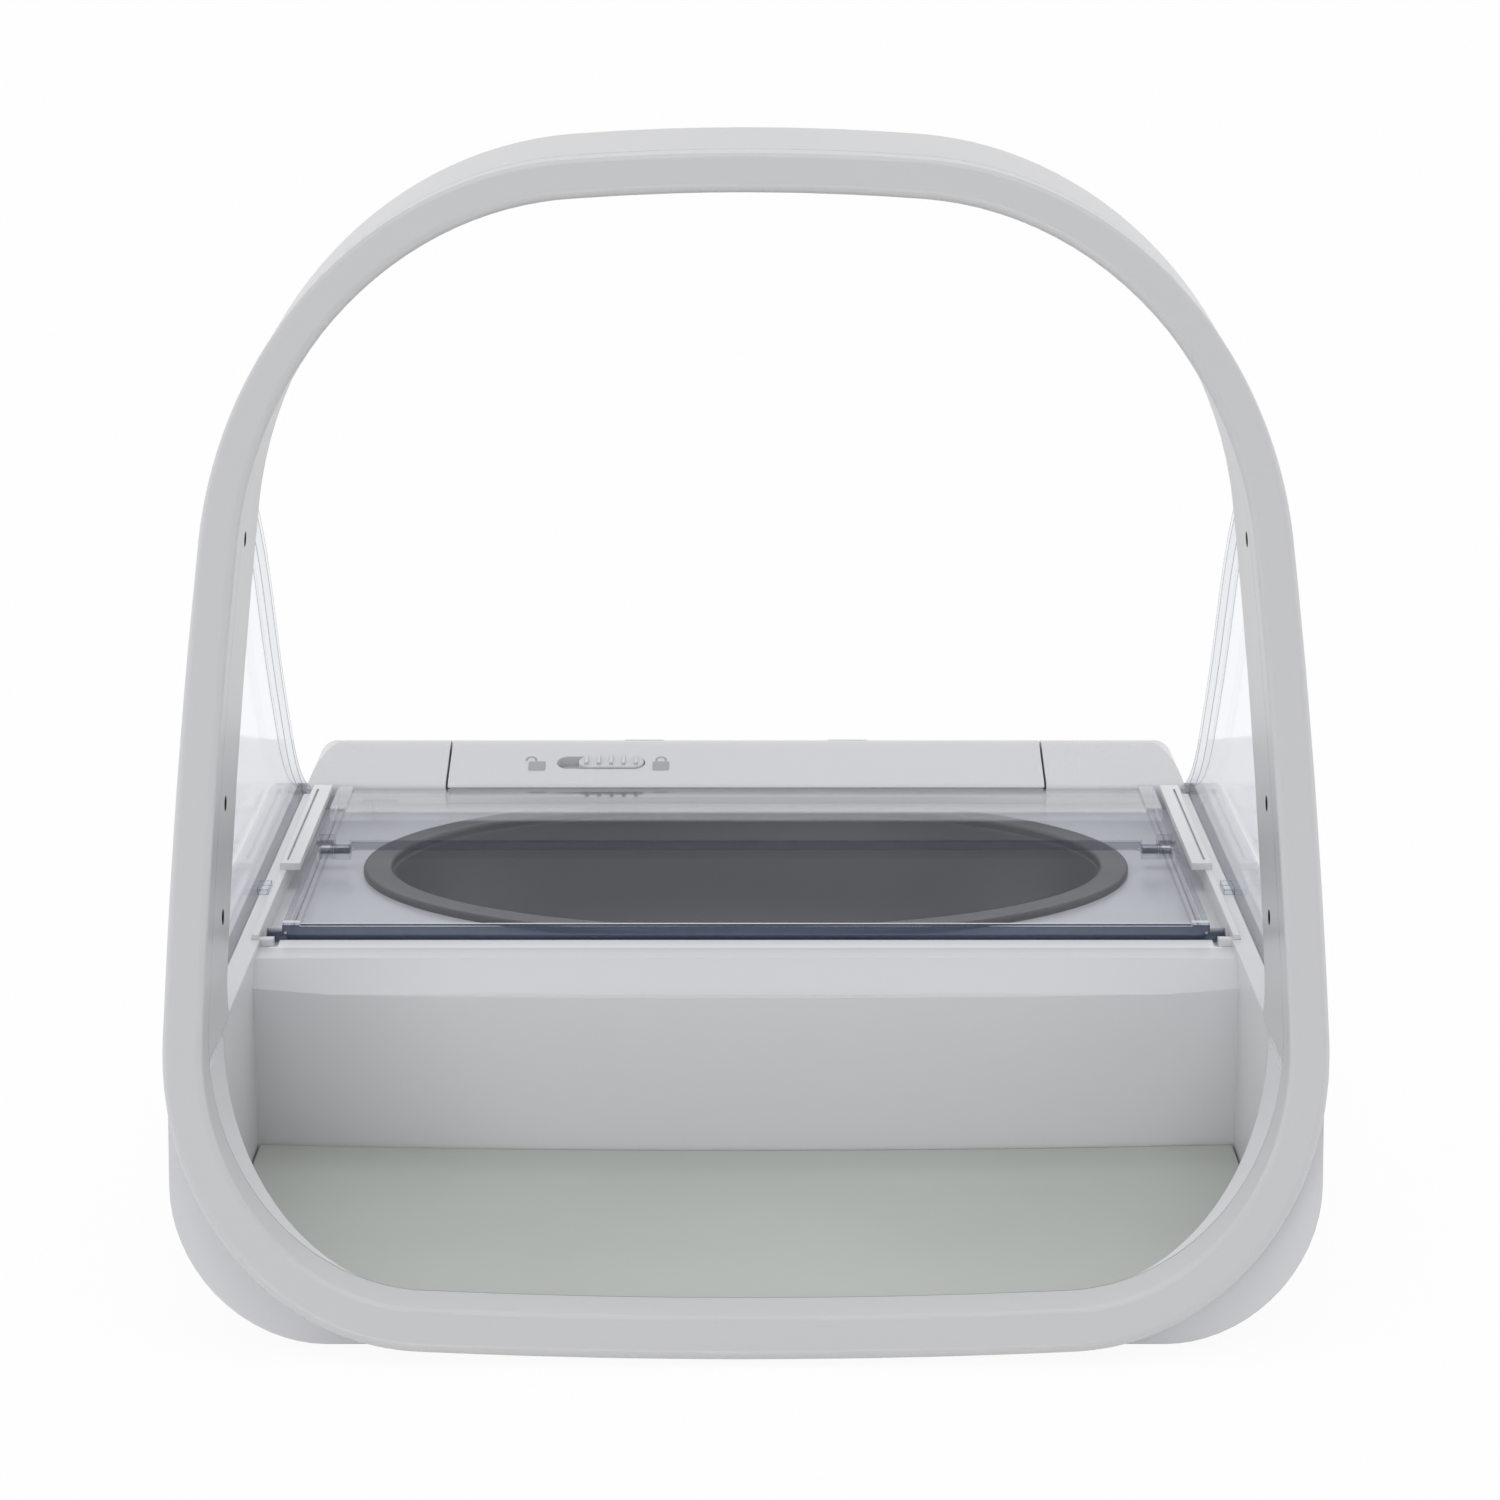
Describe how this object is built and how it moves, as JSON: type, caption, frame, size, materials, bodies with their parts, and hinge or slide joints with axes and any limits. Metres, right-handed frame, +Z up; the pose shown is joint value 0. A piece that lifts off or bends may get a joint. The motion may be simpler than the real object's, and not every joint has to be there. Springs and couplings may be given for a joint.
{
  "type": "microchip pet feeder",
  "caption": "Covered pet feeder: a leaning antenna hoop over a mat tray, a bowl under a motor-folded clear lid, clear side screens, and drive and cells behind.",
  "frame": {"origin": "centre of the bounding box's bottom face, at the feet", "axes": "+X to the right as the pet sees it, +Y from the hoop to the back, +Z up"},
  "size_m": [0.232, 0.3166, 0.2135],
  "materials": {
    "white_plastic": "satin",
    "grey_rubber": "matte",
    "copper_winding": "enamelled",
    "clear_plastic": "clear",
    "dark_lens": "gloss",
    "grey_mat": "matte",
    "dark_grey_plastic": "satin",
    "zinc_gearbox": "satin",
    "steel": "satin",
    "green_board": "satin",
    "black_chips": "matte",
    "cell_jacket": "satin",
    "bronze": "satin",
    "natural_nylon": "matte",
    "grey_plastic": "satin"
  },
  "bodies": {
    "housing": {"antenna_coil": "copper_winding", "base_screws": "steel", "base_shell": "white_plastic", "battery_cells": "cell_jacket", "battery_contacts": "steel", "battery_cover_left": "white_plastic", "battery_cover_right": "white_plastic", "board_chips": "black_chips", "board_screws": "steel", "board_switches": "black_chips", "bottom_cover": "white_plastic", "bowl": "dark_grey_plastic", "circuit_board": "green_board", "end_cap_left": "white_plastic", "end_cap_right": "white_plastic", "feeding_mat": "grey_mat", "gearbox": "zinc_gearbox", "guide_rail_left": "white_plastic", "guide_rail_right": "white_plastic", "hoop_front_cover": "white_plastic", "hoop_rear_housing": "white_plastic", "light_emitters": "dark_lens", "light_receivers": "dark_lens", "motor": "steel", "rubber_feet": "grey_rubber", "shaft_bushes": "bronze", "side_screen_left": "clear_plastic", "side_screen_right": "clear_plastic"},
    "lid_drive": {"drive_shaft": "steel", "hinge_barrel": "white_plastic", "sector_gear": "natural_nylon", "rear_lid_panel": "clear_plastic", "lid_hinge_rod": "steel"},
    "lid_front": {"front_lid_panel": "clear_plastic"},
    "pinion": {"drive_pinion": "natural_nylon"},
    "lock": {"lock_slider": "white_plastic"},
    "learn_key": {"learn_button": "grey_plastic"},
    "open_key": {"open_button": "grey_plastic"}
  },
  "joints": [
    {"name": "lid_swing", "type": "hinge", "parent": "housing", "child": "lid_drive", "pos_m": [0, 0.09167, 0.0465], "axis": [-1, 0, 0], "range_deg": [0, 70]},
    {"name": "lid_fold", "type": "hinge", "parent": "lid_drive", "child": "lid_front", "pos_m": [0, 0.02497, 0.0465], "axis": [-1, 0, 0], "range_deg": [-140, 0]},
    {"name": "pinion_spin", "type": "hinge", "parent": "housing", "child": "pinion", "pos_m": [-0.0885, 0.09167, 0.0225], "axis": [-1, 0, 0], "range_deg": [-210, 0]},
    {"name": "lock_slide", "type": "slide", "parent": "lid_drive", "child": "lock", "axis": [-1, 0, 0], "range_m": [0, 0.005]},
    {"name": "learn_press", "type": "slide", "parent": "housing", "child": "learn_key", "axis": [0, -0.2425, -0.9701], "range_m": [0, 0.0012], "stiffness_N_per_m": 200, "springref_m": -0.001},
    {"name": "open_press", "type": "slide", "parent": "housing", "child": "open_key", "axis": [0, -0.2425, -0.9701], "range_m": [0, 0.0012], "stiffness_N_per_m": 200, "springref_m": -0.001}
  ],
  "couplings": [
    {"joint": "lid_fold", "follows": "lid_swing", "ratio": -2},
    {"joint": "pinion_spin", "follows": "lid_swing", "ratio": -3}
  ]
}
